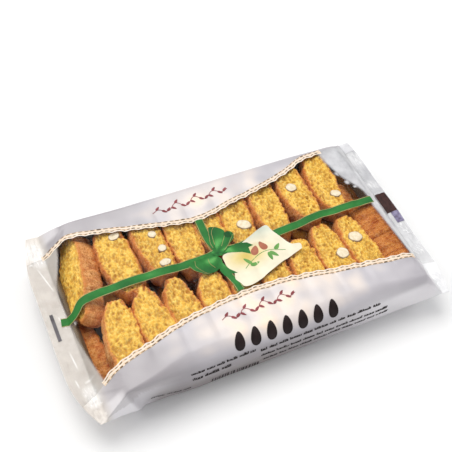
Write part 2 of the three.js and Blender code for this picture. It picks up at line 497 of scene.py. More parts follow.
# The window's two edges, as (x, y) along the pack.
BACK_BORDER = [
    (-172, 69), (-154, 70), (-131, 73), (-102, 68), (-59, 58), (-12, 50.5),
    (19, 57), (55, 64), (84, 72), (104, 80), (126, 82), (172, 83),
]
FRONT_BORDER = [
    (-172, -76), (-146, -68), (-130, -62), (-102, -54), (-72, -45.5), (-44, -41),
    (-6, -38), (42, -41), (68, -46), (97, -50), (119, -54), (144, -57), (172, -64),
]
WINDOW_COLUMNS, BAND_COLUMNS, SIDE_COLUMNS, BASE_COLUMNS = 40, 24, 8, 10

# Where the clear window ends: x of the line, for y from the front to the back.
LEFT_WINDOW_END = [
    (-90, -141), (-67, -144.5), (-59, -146), (-39, -149.5), (-15, -152.5), (12, -153.4),
    (24, -153.6), (38, -151.7), (49, -147.2), (60, -143.5), (74, -141), (90, -140),
]
RIGHT_WINDOW_END = [
    (-90, 149), (-58, 148), (-40, 146.5), (-24, 145), (0, 143.5), (24, 143.8), (35, 138.6),
    (43, 134), (50, 131), (58, 128.5), (65, 126.5), (74, 125), (90, 124),
]


def shares(count):
    """That many even steps up to 1, without the 0."""
    return np.linspace(0.0, 1.0, count + 1)[1:]


def half_ring(x, side):
    """One side of a cross-section, from the middle of the top round to the
    middle of the underside, as (y, z) rows."""
    radius, outline = side_outline(x, side)
    edge_y = outline[0][0]
    border = BACK_BORDER if side > 0 else FRONT_BORDER
    border_y = min(abs(float(smooth_curve(border, np.array([x]))[0])), edge_y - 1.5)
    window = np.linspace(0.0, border_y, WINDOW_COLUMNS + 1)
    share = shares(BAND_COLUMNS)
    band = lerp(border_y, edge_y, lerp(share, np.sin(share * math.pi / 2), 0.75))
    ys = np.concatenate([window, band])
    zs = top_height(x, side * ys) - round_off(edge_y - ys, radius)
    rows = [np.column_stack([side * ys, zs])]
    share = shares(SIDE_COLUMNS)
    for (y0, z0), (y1, z1) in zip(outline[:-1], outline[1:]):
        rows.append(np.column_stack([side * lerp(y0, y1, share), lerp(z0, z1, share)]))
    base_y, base_z = outline[-1]
    share = np.linspace(1.0, 0.0, BASE_COLUMNS + 1)[1:]
    rows.append(np.column_stack([side * base_y * share, np.full(BASE_COLUMNS, base_z)]))
    return np.concatenate(rows)


def stations():
    """The x of each cross-section, closer together towards the fins."""
    places = [0.0]
    for end in (LEFT_END, RIGHT_END):
        gusset = end["corner"] - GUSSET_LENGTH
        stops = [(0.0, gusset, 2.2), (gusset, end["seal"], 1.1)]
        stops.append((end["seal"], PACK_HALF_LENGTH, CRIMP_PITCH / 4))
        for low, high, step in stops:
            places.extend(end["side"] * np.linspace(low, high, round((high - low) / step) + 1)[1:])
    return np.array(sorted(places))


# Folds of the film: start and end (x, y), height and half-width, all on top.
FOLDS = [
    ((-133, 84), (-154, 66), 1.4, 2.0),
    ((-131, 80), (-152, 40), 0.9, 3.0),
    ((-135, 60), (-154, 52), 0.7, 2.0),
    ((-143, -22), (-154, -38), 0.7, 1.6),
    ((-141, -52), (-154, -60), 0.9, 1.6),
    ((-135, -78), (-153, -70), 1.2, 2.4),
    ((-136, -70), (-152, -48), 0.8, 2.0),
    ((146, 82), (160, 50), 1.1, 2.2),
    ((147, 84), (160, 70), 1.2, 2.0),
    ((144, 70), (159, 30), 0.7, 2.4),
    ((150, 20), (160, -18), 0.6, 1.6),
    ((147, -80), (160, -50), 1.1, 2.2),
    ((146, -74), (159, -30), 0.8, 2.6),
]


def fold_height(x, y):
    """How much the folds lift the top film; beside a fold it is a little lower."""
    lift = np.zeros(np.broadcast(x, y).shape)
    for start, end, height, width in FOLDS:
        distance, share = segment_distance(x, y, start, end)
        fade = np.sin(math.pi * np.clip(share * 0.85 + 0.12, 0.0, 1.0))
        near = distance < 4 * width
        lift += height * fade * (np.maximum(0.0, 1.0 - distance / width) ** 1.3 - 0.35) * near
    return lift


# The crease from each left top corner down to where its gusset starts: x at the
# ground, how far it leans out with height, and how far the film is pulled in.
CREASE = {"foot": -119.0, "lean": -0.357, "ridge": 1.0, "hollow": 3.0, "reach": 12.0}


def past_crease(x, z):
    """How far x lies to the right of the crease at that height."""
    return x - (CREASE["foot"] + CREASE["lean"] * z)


def crease_pull(x, z):
    """How far the film is pushed out along the crease and pulled in beside it."""
    beyond = past_crease(x, z)
    right, left = np.maximum(beyond, 0.0), np.minimum(beyond, 0.0)
    hollow = CREASE["hollow"] * right / CREASE["reach"] * np.exp(1 - right / CREASE["reach"])
    return CREASE["ridge"] * np.exp(left / 8.0 - right / 3.0) - hollow


# Crumpled places on the two fins: x, y, radius and depth.
CRUMPLES = [
    (-157, -80, 20, 1.3), (-163, 78, 18, 1.2), (-166, 20, 30, 0.2), (-165, -35, 26, 0.3),
    (166, 66, 22, 0.9), (167, -30, 30, 0.7), (166, -82, 18, 1.0), (166, 20, 20, 0.6),
]


def crumple(x, y):
    """Sharp small folds on the fins, the same for both layers of film."""
    depth = 0.0
    for cx, cy, radius, most in CRUMPLES:
        depth += most * max(0.0, 1.0 - math.hypot(x - cx, y - cy) / radius)
    if depth == 0.0:
        return 0.0
    ridges = abs(noise_at(x / 5.0, y / 6.5, 1.0)) + 0.5 * abs(noise_at(x / 2.4, y / 3.2, 8.0))
    return depth * (1.6 * ridges - 0.4)


def wrinkle(x, y, z):
    """Soft unevenness of the film at a point of the pack."""
    slow = noise_at(x / 34.0, y / 26.0, z / 22.0)
    quick = noise_at(x / 11.0 + 7.0, y / 15.0, z / 9.0)
    return 0.8 * slow + 0.2 * quick


def film_grid():
    """The stations, and the film's points and its share of fin at each of them."""
    xs = stations()
    yz = np.array([np.concatenate([half_ring(x, 1)[::-1], half_ring(x, -1)[1:-1]]) for x in xs])
    x = np.repeat(xs[:, None], yz.shape[1], axis=1)
    y, z = yz[..., 0], yz[..., 1]
    seal, side = end_value(x, "seal"), end_value(x, "side")
    on_fin = ramp(seal, PACK_HALF_LENGTH, np.abs(x))
    tucks = np.where(y > 0, end_value(x, "tuck_back"), end_value(x, "tuck_front"))
    pull = tucks * ramp(TUCK_START, SEAL_HALF_WIDTH, np.abs(y)) ** 2 * on_fin
    wave = FIN_WAVE_DEPTH * np.sin(2 * math.pi * y / FIN_WAVE_LENGTH + side)
    ribs = np.cos(2 * math.pi * (np.abs(x) - seal) / CRIMP_PITCH)
    crimp = CRIMP_DEPTH * ribs * ease(seal, seal + 1.0, np.abs(x))
    return xs, np.stack([x - side * pull, y, z + wave * on_fin + crimp], axis=-1), on_fin


class Film:
    """The film's grid, and the way from pack coordinates to points on it."""

    TABLE_STEP = 0.5
    TABLE_REACH = 150.0

    def __init__(self):
        self.xs, self.grid, on_fin = film_grid()
        self.middle = WINDOW_COLUMNS + BAND_COLUMNS + 3 * SIDE_COLUMNS + BASE_COLUMNS
        self.unevenness(on_fin)
        self.make_table()

    def unevenness(self, on_fin):
        """Folds and soft wrinkles, fading out on the fins and the underside."""
        x, y, z = (self.grid[..., k] for k in range(3))
        above = ramp(SEAL_HEIGHT - 2.0, SEAL_HEIGHT + 4.0, z) * (1.0 - on_fin)
        z += fold_height(x, y) * above
        share = ramp(1.0, 10.0, z) * (1.0 - ramp(0.0, 0.05, on_fin))
        near_left = ramp(-70.0, -95.0, x) * (1.0 - ramp(-149.0, -154.0, x))
        flank = ramp(1.0, 8.0, z) * ramp(BODY_HEIGHT - 3.0, BODY_HEIGHT - 14.0, z) * near_left
        y += np.sign(y) * crease_pull(x, z) * flank * (np.abs(y) > 70.0)
        end_zone = ramp(-8.0, 0.0, np.abs(x) - end_value(x, "seal"))
        for i in np.ndindex(x.shape):
            if end_zone[i] > 0.0:
                z[i] += crumple(x[i], y[i]) * end_zone[i]
            if share[i] > 0.0:
                amount = share[i] * wrinkle(x[i], y[i], z[i])
                flank = ramp(40.0, 30.0, z[i])
                y[i] -= math.copysign(abs(amount) * 0.9 * flank, y[i])
                z[i] -= (0.55 + 0.45 * amount) * 0.6 * (1.0 - flank)

    def make_table(self):
        """Points at every TABLE_STEP of the way round, out from the top's middle."""
        self.ways = np.arange(-self.TABLE_REACH, self.TABLE_REACH + self.TABLE_STEP, self.TABLE_STEP)
        rows = []
        for ring in self.grid:
            way = lengths_along(ring[:, 1:])
            rows.append(walk(ring[::-1], (way[self.middle] - way)[::-1], self.ways))
        self.table = np.array(rows)

    def at(self, x, way):
        """Points of the film at x along the pack and way across it: the distance
        along the film from the line down the middle, towards +Y."""
        x, way = np.broadcast_arrays(np.asarray(x, float), np.asarray(way, float))
        i = np.clip(np.searchsorted(self.xs, x) - 1, 0, len(self.xs) - 2)
        u = np.clip((x - self.xs[i]) / (self.xs[i + 1] - self.xs[i]), 0.0, 1.0)[..., None]
        place = (way - self.ways[0]) / self.TABLE_STEP
        j = np.clip(place.astype(int), 0, len(self.ways) - 2)
        v = (place - j)[..., None]
        low = lerp(self.table[i, j], self.table[i, j + 1], v)
        high = lerp(self.table[i + 1, j], self.table[i + 1, j + 1], v)
        return lerp(low, high, u)

    def print_points(self, flat, lift):
        """Flat (x, way) points, laid on the film and lifted off it."""
        x, way = flat.T
        along = self.at(x + 1.0, way) - self.at(x - 1.0, way)
        across = self.at(x, way + 1.0) - self.at(x, way - 1.0)
        return self.at(x, way) + unit(np.cross(along, across)) * lift


# Painted glints: spots where the clear film turns milky white, standing in for caught light: x, y and size.
GLINTS = [(128.7, 50.6, 2.6), (133.4, 38.4, 3.0), (138, 31, 1.8), (-149.5, -6, 1.6)]

# Crumpled places of the two ends, with painted highlights on their creases: x, y, radius.
CRINKLES = [
    (-162, 80, 13), (-158, 68, 9), (-157, -66, 8), (-156, -74, 9), (165, 72, 12), (166, 38, 8),
    (168, 8, 9), (165, -18, 9), (166, -44, 12), (163, -72, 14), (152, 76, 8),
]

# Single sharp creases of the left end, painted as highlight lines, each from one (x, y) to another.
STREAKS = [
    ((-162.6, 62), (-156, 34)), ((-170, 66), (-158, 71)), ((-161.5, -27), (-160, -44)),
    ((-159, -58), (-150, -56)), ((-165, -52), (-164, -60)), ((-160, 8), (-157, -4)),
]


def painted_crease_highlights(x, y):
    """1 on a painted highlight along a crease of the film and 0 off it: thin wandering lines."""
    bright = np.zeros(len(x))
    for start, end in STREAKS:
        distance, share = segment_distance(x, y, start, end)
        bright = np.maximum(bright, 0.8 * ease(0.9, 0.2, distance) * np.sin(math.pi * share) ** 0.5)
    for cx, cy, radius in CRINKLES:
        near = spot(x, y, cx, cy, radius)
        for k in np.flatnonzero(near):
            height = noise_at(x[k] / 3.2, y[k] / 5.5, cx)
            bright[k] = max(bright[k], near[k] * (0.4 + 0.6 * float(ramp(0.09, 0.01, abs(height)))))
    return bright


def painted_glow(x, y):
    """Painted light from the slices through the white film: soft, uneven warm patches, brightest along the
    pack's middle and weaker on the back band.
    """
    shifts = ((0.0, 0.0), (-5.0, 3.0), (5.0, -3.0), (-3.0, -9.0), (3.0, 9.0))
    cover = np.mean([slice_cover(x + dx, y + dy) for dx, dy in shifts], axis=0)
    patches = np.array([0.5 + 1.3 * noise_at(a / 19.0, b / 13.0, 5.0) for a, b in zip(x, y)])
    middle = np.exp(-(((x - 8.0) / 82.0) ** 2))
    strength = np.where(y > 0.0, 0.78, 1.0)
    return np.clip(strength * (0.5 * middle + 0.5 * cover * patches * (0.4 + 0.6 * middle)), 0.0, 1.0)


def film_tints(x, y, z):
    """What the film's materials read at each vertex, each from 0 to 1."""
    from_seal = np.abs(x) - end_value(x, "seal")
    front_flank = y < -60.0
    # The milky film past the window's ends, and the painted glints.
    past_left, past_right = x - smooth_curve(LEFT_WINDOW_END, y), x - smooth_curve(RIGHT_WINDOW_END, y)
    milk = np.maximum(ease(1.0, -1.0, past_left), ease(-3.0, 1.5, past_right))
    for glint in GLINTS:
        milk = np.maximum(milk, spot(x, y, *glint))
    # Painted highlights on the ends' creases; the right end's front part is also mixed towards that highlight
    # white.
    crease = np.maximum(painted_crease_highlights(x, y), 0.45 * ease(60.0, -20.0, y) * (x > 0.0))
    slope_milk, fin_milk = np.where(x < 0.0, 0.66, 0.8), lerp(0.5, 0.75, crease)
    milk *= lerp(slope_milk, fin_milk, ramp(-0.5, 0.5, from_seal))
    # Shade low on the front flank, and on both bands' left ends.
    shade = ease(42.0, 10.0, z) * front_flank * ramp(-121.0, -104.0, x) * ramp(90.0, -10.0, x)
    shade *= lerp(0.8, 0.62, ramp(-20.0, -80.0, x))
    shade = np.maximum(shade, 0.3 * ease(-50.0, -100.0, x) * ease(-48.0, -62.0, y) * (z > 30.0))
    shade = np.maximum(shade, 0.22 * ease(-30.0, -80.0, x) * ease(60.0, 70.0, y) * (z > 30.0))
    # Painted light on the facets left of the creases, and on the ends of the front flank.
    painted_light = ease(2.5, -2.5, past_crease(x, z))
    painted_light *= ease(78.0, 84.0, np.abs(y)) * ramp(46.0, 40.0, z) * np.where(y < 0.0, 1.0, 0.8)
    lit = np.maximum(ease(15.0, 135.0, x), 0.55 * ease(-85.0, -112.0, x))
    painted_light = np.maximum(painted_light, lit * ease(46.5, 31.0, z) * front_flank)
    return {
        "glow": painted_glow(x, y) * ramp(34.0, 44.0, z), "milk": milk, "left": ease(0.0, -150.0, x),
        "end": ease(-9.0, 0.0, from_seal), "crease": crease, "painted_light": painted_light, "shade": shade,
    }


def film_pieces(film):
    """The white printed film and the clear window, cut apart along the window."""
    count, size = film.grid.shape[:2]
    vertices = film.grid.reshape(-1, 3)
    tints = film_tints(*vertices.T)
    quads = ring_faces(count, size)
    in_window = [abs((j + 0.5) - film.middle) < WINDOW_COLUMNS for j in range(size)]
    for name, material, slot, clear in (
        ("film_white", white_film_material(), "white_film", False),
        ("film_window", clear_film_material(), "clear_film", True),
    ):
        chosen = [quad for k, quad in enumerate(quads) if in_window[k % size] == clear]
        used = sorted({v for quad in chosen for v in quad})
        place = {v: k for k, v in enumerate(used)}
        faces = [[place[v] for v in quad] for quad in chosen]
        own_tints = {key: values[used] for key, values in tints.items()}
        add_piece(new_object(name, vertices[used], faces, material, own_tints), replaces=True)


# --- Print on the film ------------------------------------------------------------

# Each print: how far it lies off the film, its slot, and its ink's name, dark and
# light tones and, where it isn't 120, its grain.
PRINTS = {
    "lace": (0.14, "print", "ink_peach", "dec0a0", "e8d6c0", 200.0),
    "stitches": (0.26, "print", "ink_brown", "4a3826", "7c6442"),
    "lace_edge": (0.20, "print", "ink_cream", "e8dac8", "f0e8de"),
    "ribbon": (0.10, "ribbon_print"),
    "ribbon_edges": (0.14, "ribbon_print", "ink_tan", "8c844e", "b8a870"),
    "tag": (0.20, "print"),
    "tag_lines": (0.28, "print", "ink_tag_line", "965642", "b06e54"),
    "tag_leaves": (0.26, "ribbon_print", "ink_leaf", "46823c", "6ea054"),
    "bars": (0.20, "print", "ink_black", "180e0e", "261a1a"),
    "vine": (0.20, "print", "ink_wine", "78343a", "964c50"),
    "mark_left": (0.20, "print", "ink_grey", "524e52", "686468"),
    "mark_right": (0.20, "print", "ink_dark", "260e0c", "401e1a", 320.0),
    "mark_pale": (0.20, "print", "ink_lilac", "5c546c", "928caa", 320.0),
}


def strip_points(path, widths, spacing, columns):
    """A strip along a path of (x, way) points: flat vertices, quads, and for
    each vertex how far across it lies, from -1 to 1."""
    path, widths = np.asarray(path, float), np.atleast_1d(widths)
    lengths = lengths_along(path)
    count = max(1, round(lengths[-1] / spacing))
    middle = walk(path, lengths, np.linspace(0.0, lengths[-1], count + 1))
    half = np.interp(np.linspace(0, 1, count + 1), np.linspace(0, 1, len(widths)), widths) / 2
    across = np.linspace(-1.0, 1.0, columns + 1)
    shift = sideways(middle)[:, None, :] * half[:, None, None] * across[None, :, None]
    flat = middle[:, None, :] + shift
    faces = [(a, d, c, b) for a, b, c, d in grid_faces(count, columns)]
    return flat.reshape(-1, 2), faces, np.tile(across, count + 1)


def smooth_path(points, steps=12):
    """A Catmull-Rom curve through (x, way) points."""
    points = np.asarray(points, float)
    padded = np.vstack([2 * points[0] - points[1], points, 2 * points[-1] - points[-2]])
    curve = []
    for k in range(1, len(padded) - 2):
        p0, p1, p2, p3 = padded[k - 1 : k + 3]
        for t in np.linspace(0.0, 1.0, steps, endpoint=False):
            curve.append(0.5 * (2 * p1 + (p2 - p0) * t + (2 * p0 - 5 * p1 + 4 * p2 - p3) * t**2
                                + (3 * p1 - p0 - 3 * p2 + p3) * t**3))
    curve.append(points[-1])
    return np.array(curve)


def closed(outline):
    """The outline's points joined by one smooth closed curve."""
    points, steps = np.array(outline, float), 6
    curve = smooth_path(np.vstack([points[-2:], points, points[:3]]), steps)
    return curve[2 * steps : (2 + len(points)) * steps]


def point_inside(outline, x, y):
    xs, ys = outline[:, 0], outline[:, 1]
    nx, ny = np.roll(xs, -1), np.roll(ys, -1)
    crosses = (ys > y) != (ny > y)
    with np.errstate(divide="ignore", invalid="ignore"):
        at_x = xs + (y - ys) / (ny - ys) * (nx - xs)
    clear = np.min(np.hypot(xs - x, ys - y)) > 0.8
    return clear and bool(np.sum(crosses & (x < at_x)) % 2)


def filled_points(outline, spacing=1.7):
    """Triangles that fill a flat outline, small enough to follow the film."""
    outline = np.asarray(outline, float)
    xs, ys = (np.arange(*ends, spacing) for ends in zip(outline.min(0), outline.max(0)))
    inside = [(x, y) for x in xs for y in ys if point_inside(outline, x, y)]
    points = [Vector(p) for p in [*outline, *inside]]
    ring = list(range(len(outline)))
    vertices, _, faces, *_ = delaunay_2d_cdt(points, [], [ring], 1, 0.05)
    return np.array([tuple(v) for v in vertices]), [tuple(face) for face in faces]


def upward(vertices, faces):
    """The faces, each turned so that it faces out of the film."""
    turned = []
    for face in faces:
        (ax, ay), (bx, by), (cx, cy) = (vertices[k] for k in face[:3])
        area = (bx - ax) * (cy - ay) - (by - ay) * (cx - ax)
        turned.append(face if area >= 0 else face[::-1])
    return turned


class Print:
    """Ink of one kind: flat shapes gathered into one piece laid on the film."""

    def __init__(self, film, name, material=None):
        self.film, self.name, self.pile = film, name, MeshPile()
        self.lift, self.slot, *ink = PRINTS[name]
        self.material = material or ink_material(*ink)

    def strip(self, path, widths, lift=0.0, columns=1, shine=None, spacing=1.6):
        flat, faces, across = strip_points(path, widths, spacing, columns)
        self.add(flat, faces, lift, shine and shine(flat, across))

    def fill(self, outline, lift=0.0, shine=None):
        flat, faces = filled_points(outline)
        self.add(flat, faces, lift, shine and shine(flat, None))

    def add(self, flat, faces, lift=0.0, glint=None):
        points = self.film.print_points(flat, self.lift + lift)
        tints = {} if glint is None else {"shine": glint}
        self.pile.add(points, upward(flat, faces), **tints)

    def build(self):
        add_piece(self.pile.build("print_" + self.name, self.material))


SCALLOP_PITCH = 11.5
SCALLOP_DEPTH = 1.2
KNOT_EVERY = 7  # stitches from one thick stitch to the next
LACE_HALF = 2.1


def border_line(border, low, high, offset, step=0.8):
    """Points along a window edge, shifted away from the window's middle."""
    xs = np.arange(low, high, step)
    ways = smooth_curve(border, xs)
    side = math.copysign(1.0, ways[0])
    slope = np.gradient(ways, xs)
    length = np.hypot(1.0, slope)
    shift = offset(xs) if callable(offset) else offset
    return np.column_stack([xs - side * shift * slope / length, ways + side * shift / length])


def scallop(xs):
    """Depth of the lace's scallops towards the window."""
    return -LACE_HALF + SCALLOP_DEPTH * np.abs(np.sin(math.pi * xs / SCALLOP_PITCH)) - SCALLOP_DEPTH


def dashes(ink, line, dash, gap, width, seed):
    """Stitches along a line, each a short strip."""
    rng = random.Random(seed)
    lengths = lengths_along(line)
    place, count = 0.0, 0
    while place + dash < lengths[-1]:
        length = dash * rng.uniform(0.75, 1.2)
        path = walk(line, lengths, np.linspace(place, place + length, 4))
        thick = width * (1.7 if count % KNOT_EVERY == KNOT_EVERY // 2 else rng.uniform(0.8, 1.1))
        ink.strip(path, [thick * 0.6, thick, thick * 0.6], spacing=1.2)
        count += 1
        place += length + gap * rng.uniform(0.8, 1.2)


def lace(film):
    """The scalloped lace strip and its two rows of stitches, on both borders."""
    strip, dark, light = inks = [Print(film, name) for name in ("lace", "stitches", "lace_edge")]
    for border, low, high in ((BACK_BORDER, -156.0, 128.0), (FRONT_BORDER, -146.0, 150.0)):
        inner, outer = (border_line(border, low, high, offset) for offset in (scallop, LACE_HALF))
        strip.add(np.vstack([inner, (inner + outer) / 2, outer]), grid_faces(2, len(inner) - 1))
        outer_row, inner_row = (
            border_line(border, low + 2, high - 2, offset)
            for offset in (LACE_HALF - 0.6, lambda xs: scallop(xs) + 1.2)
        )
        dashes(dark, outer_row, 3.4, 1.7, 0.85, 3)
        dashes(dark, inner_row, 3.0, 1.9, 0.7, 5)
        light.strip(inner, 0.8)
        light.strip(border_line(border, low, high, lambda xs: 0.4 * scallop(xs) + 0.9), 0.7)
    for ink in inks:
        ink.build()


# The ribbon and its two tails: each one's middle line, its width and, for a tail,
# its widths from end to end.
RIBBON_PARTS = [
    ([(-159.5, 2), (-150, 0.5), (-145.5, 2), (-141, 5.5), (-134, 7), (-113, 8.5), (-77, 9), (-50, 7.4),
      (-30, 7.4), (-17, 9)], 8.0, None),
    ([(-10, 8), (30, 8.5), (44, 9.3), (62, 10.6), (89, 13.2), (110, 12.5), (132, 12.5), (146, 12.5)],
     8.0, None),
    ([(-16.2, 48), (-16.7, 37), (-16.8, 24.4), (-15.9, 12)], 7.4, [7.8, 7.4, 4.0]),
    ([(-16.5, -10), (-14, -19.5), (-12.4, -25.3), (-11.7, -34)], 6.0, [4.0, 6.0, 7.0]),
]
EDGE_INSET = 0.3  # of the ribbon's edge lines
KNOT_MIDDLE = (-14.5, 8.5)
# The bow's shapes, each lying over the ones before it: pointed leaves, and loops
# and the knot with round outlines, one of them the dark inside of a loop.
BOW_SHAPES = [
    ("leaf", [(-16.1, 3.6), (-14.1, -4.9), (-12.1, -11), (-7.2, -17.3), (-12.1, -16.2), (-15.8, -18.5),
              (-18.8, -15.3), (-20.5, -9.8), (-19.1, -3.1)]),
    ("leaf", [(-11, 6.3), (-5, 9.2), (4.4, 12.2), (13.6, 9.2), (18, 4.8), (13.2, 4.3), (12.4, -2.9),
              (6, 1.6), (-2.4, 4.6)]),
    ("loop", [(-43.4, 6.3), (-37.4, 7.9), (-26.8, 7.8), (-19.5, 6.8), (-17, 2.7), (-21.2, -4.3),
              (-28.1, -9), (-32.9, -9.2), (-39.2, -3.3), (-43, 3)]),
    ("loop", [(-31.6, 4.8), (-25.2, 6.2), (-17, 6), (-14.1, 0.9), (-17.2, -4.8), (-23.4, -9.1),
              (-28.1, -9.4), (-32.8, -9), (-33.5, -2.4)]),
    ("loop", [(-12, 36), (-7.3, 35.5), (-2.3, 31.8), (0, 27), (-3.9, 23.5), (-9.5, 23.2), (-13.6, 18),
              (-16.7, 13.3), (-17, 17), (-15.7, 24), (-14.1, 30)]),
    ("loop", [(-9.5, 23.2), (-3.9, 24.5), (0.1, 26.4), (4.4, 26.6), (6.8, 23), (5.5, 19), (1.1, 15),
              (-2.2, 13), (-5.9, 9.6), (-10.2, 8.2), (-12.8, 10.7), (-14.8, 13.3), (-13.3, 18)]),
    ("inside", [(-1, 26), (4, 26.2), (6.4, 23), (4.7, 20), (0.2, 19.8), (-2.1, 22.7)]),
    ("knot", [(-19, 11), (-14.3, 12.4), (-10.1, 10.6), (-9.2, 7.4), (-11.8, 5), (-16.5, 5.8),
              (-19.6, 8.6)]),
]
BOW_ARCS = [
    [(-16.6, 14), (-16.8, 20), (-15, 26), (-13.9, 31), (-12, 36)],
    [(-7, 35.4), (-11, 31), (-12.6, 25), (-14, 17)],
    [(6.6, 22.5), (2.5, 18.5), (-2.2, 13.2), (-8, 9)],
    [(-2, 22.5), (-5.5, 18), (-9, 13.5)],
    [(-43, 4.5), (-40.5, -1.5), (-35, -7), (-30, -9.2)],
    [(-37, 7.6), (-37.8, 2), (-35, -4.5), (-31.5, -9)],
    [(-25, 6), (-25.6, 0), (-23, -6)],
]


def satin(flat, across):
    """Shine of a printed ribbon: bright along its middle, in slow patches."""
    patches = np.array([0.5 + 0.6 * noise_at(x / 22.0, y / 9.0, 3.0) for x, y in flat])
    middle = 1.0 - 0.45 * np.abs(across) ** 2
    return np.clip(0.28 + 0.6 * patches * middle, 0.0, 1.0)


def petal_satin(flat, _):
    """Shine of a loop or leaf: dark by the knot, with folds that run out from it."""
    dx, dy = flat[:, 0] - KNOT_MIDDLE[0], flat[:, 1] - KNOT_MIDDLE[1]
    out = np.clip(np.hypot(dx, dy) / 22.0, 0.0, 1.0)
    folds = 0.5 + 0.5 * np.sin(5.0 * np.arctan2(dy, dx) + 4.0 * out)
    sheen = np.sin(math.pi * np.clip(out, 0.0, 0.8) ** 0.8)
    return np.clip(0.1 + 0.95 * sheen * (0.35 + 0.65 * folds), 0.0, 1.0)


def dark_satin(flat, _):
    return np.full(len(flat), 0.12)


def ribbon_and_bow(film):
    ribbon, edges = Print(film, "ribbon", ribbon_material()), Print(film, "ribbon_edges")
    for path, width, tail in RIBBON_PARTS:
        line = smooth_path(path)
        lift, columns, edge_width = (0.04, 4, 0.45) if tail else (0.0, 6, 0.5)
        ribbon.strip(line, tail or width, lift, columns, satin)
        for side in (-1, 1):
            edges.strip(line + sideways(line) * side * (width / 2 - EDGE_INSET), edge_width, lift)
    for height, (kind, outline) in enumerate(BOW_SHAPES):
        shape = outline if kind == "leaf" else closed(outline)
        shine = dark_satin if kind == "inside" else petal_satin
        ribbon.fill(shape, lift=0.2 + 0.04 * height, shine=shine)
    for arc in BOW_ARCS:
        edges.strip(smooth_path(arc), 0.34, lift=0.46)
    ribbon.build()
    edges.build()


TAG_OUTLINE = [
    (-11.6, 4.4), (-3.6, 6), (10, 10.6), (20.6, 14.9), (37.4, 21), (41, 12.7), (46, 2.2), (50.2, -6.7),
    (57.4, -8.9), (57.3, -13.4), (54.5, -15.5), (36.6, -20.3), (18, -27), (2.6, -32.4), (-6.8, -32.2),
    (-9.3, -27.5), (-11.6, -22.4), (-10, -16), (-12.9, -9.3), (-12.9, -2.3),
]
SPRIG = [(1, -16), (12, -9), (26, -5.5), (43, -10)]
# The sprig's leaves and its two almonds, each its middle and its turn.
SPRIG_LEAVES = [
    ((6, -9.5), 2.2), ((11, -14), 0.1), ((31, -11), -0.9), ((37, -4.5), 0.7), ((27, -12), -1.6),
]
SPRIG_ALMONDS = [((17, -1), 1.0), ((25.5, 1), 1.8)]


def almond_outline(centre, length, width, turn, count=24):
    """A pointed almond shape."""
    angles = np.linspace(0.0, 2 * math.pi, count, endpoint=False)
    x = length / 2 * np.cos(angles)
    y = width / 2 * np.sin(angles) * (1.0 - 0.35 * np.cos(angles))
    c, s = math.cos(turn), math.sin(turn)
    return np.column_stack([centre[0] + c * x - s * y, centre[1] + s * x + c * y])


def tag_tint(flat, _):
    """0 in the yellow middle of the tag, 1 at its pale green top."""
    x, y = flat.T
    yellow = np.exp(-(((x - 8.0) / 20.0) ** 2) - (((y + 4.0) / 11.0) ** 2))
    return np.clip(0.55 - 0.55 * yellow + 0.5 * ramp(4.0, 16.0, y - 0.1 * x), 0.0, 1.0)


def tag(film):
    """A cream tag with soft edges and a sprig of almonds."""
    face = Print(film, "tag", tag_material())
    ink, leaf = Print(film, "tag_lines"), Print(film, "tag_leaves")
    face.fill(closed(TAG_OUTLINE), shine=tag_tint)
    leaf.strip(smooth_path(SPRIG), 0.6)
    for centre, turn in SPRIG_LEAVES:
        leaf.fill(almond_outline(centre, 9.0, 3.6, turn))
    for centre, turn in SPRIG_ALMONDS:
        ink.fill(almond_outline(centre, 10.5, 6.4, turn), lift=0.04)
    for each in (face, ink, leaf):
        each.build()


# Lines where the small print is: from and to, height and seed.
WORD_LINES = [
    ((-16, -95), (99, -93), 3.4, 21), ((-15, -103), (108, -102), 3.4, 22),
    ((-12, -112), (111, -110), 3.2, 23), ((-78, -93.5), (-21, -91.5), 3.2, 24),
    ((-77, -101), (-42, -99.5), 3.2, 25), ((-112, -117.5), (-78, -114.5), 1.8, 26),
]


def print_words(ink, start, end, height, seed):
    """A line of upright strokes of uneven height where small print would be."""
    rng = random.Random(seed)
    start, end = np.array(start, float), np.array(end, float)
    length = np.linalg.norm(end - start)
    along = (end - start) / length
    upright = np.array([-along[1], along[0]])
    place = 0.0
    while place < length:
        word_end = min(length, place + rng.uniform(5.0, 13.0))
        while place < word_end:
            foot = start + along * place
            tall = height * rng.choice((0.62, 0.68, 0.74, 1.0))
            ink.strip([foot, foot + upright * tall + along * rng.uniform(-0.5, 0.5)], 1.05)
            place += rng.uniform(1.0, 1.5)
        ink.strip([start + along * max(0.0, place - 6.0), start + along * (place - 1.0)], 0.5)
        place += 1.6


def vine(ink, start, end, waves=4, swing=3.4, count=120):
    """A thin wavy stem with small leaves on both sides."""
    start, end = np.array(start, float), np.array(end, float)
    share = np.linspace(0.0, 1.0, count)
    sway = swing * np.sin(share * waves * 2 * math.pi) * np.sin(share * math.pi) ** 0.4
    stem = lerp(start, end, share[:, None]) + np.column_stack([np.zeros(count), sway])
    ink.strip(stem, 0.6, spacing=0.9)
    for k in range(1, 4 * waves):
        side = 1 if k % 2 else -1
        at = stem[round(k * (count - 1) / (4 * waves))]
        ink.fill(almond_outline(at + (1.6, 1.7 * side), 5.0, 2.3, 0.7 * side), lift=0.03)


def band_print(film):
    """Plain ornaments on the white bands, and lines of strokes for small print."""
    dark, line = Print(film, "bars"), Print(film, "vine")
    vine(line, (-52, 69), (23, 72))
    vine(line, (-39, -55), (30, -53))
    for share in np.arange(7) / 6:
        dark.fill(almond_outline((lerp(-33, 54, share), lerp(-77.5, -79.0, share)), 16.5, 8.6, 1.35))
    for words in WORD_LINES:
        print_words(dark, *words)
    rng = random.Random(9)
    x = -59.0
    while x < -16.0:
        width = rng.choice((0.8, 1.2, 1.7))
        dark.strip([(x, -112.0), (x, -119.5)], width)
        x += width + rng.choice((1.0, 1.5))
    dark.build()
    line.build()


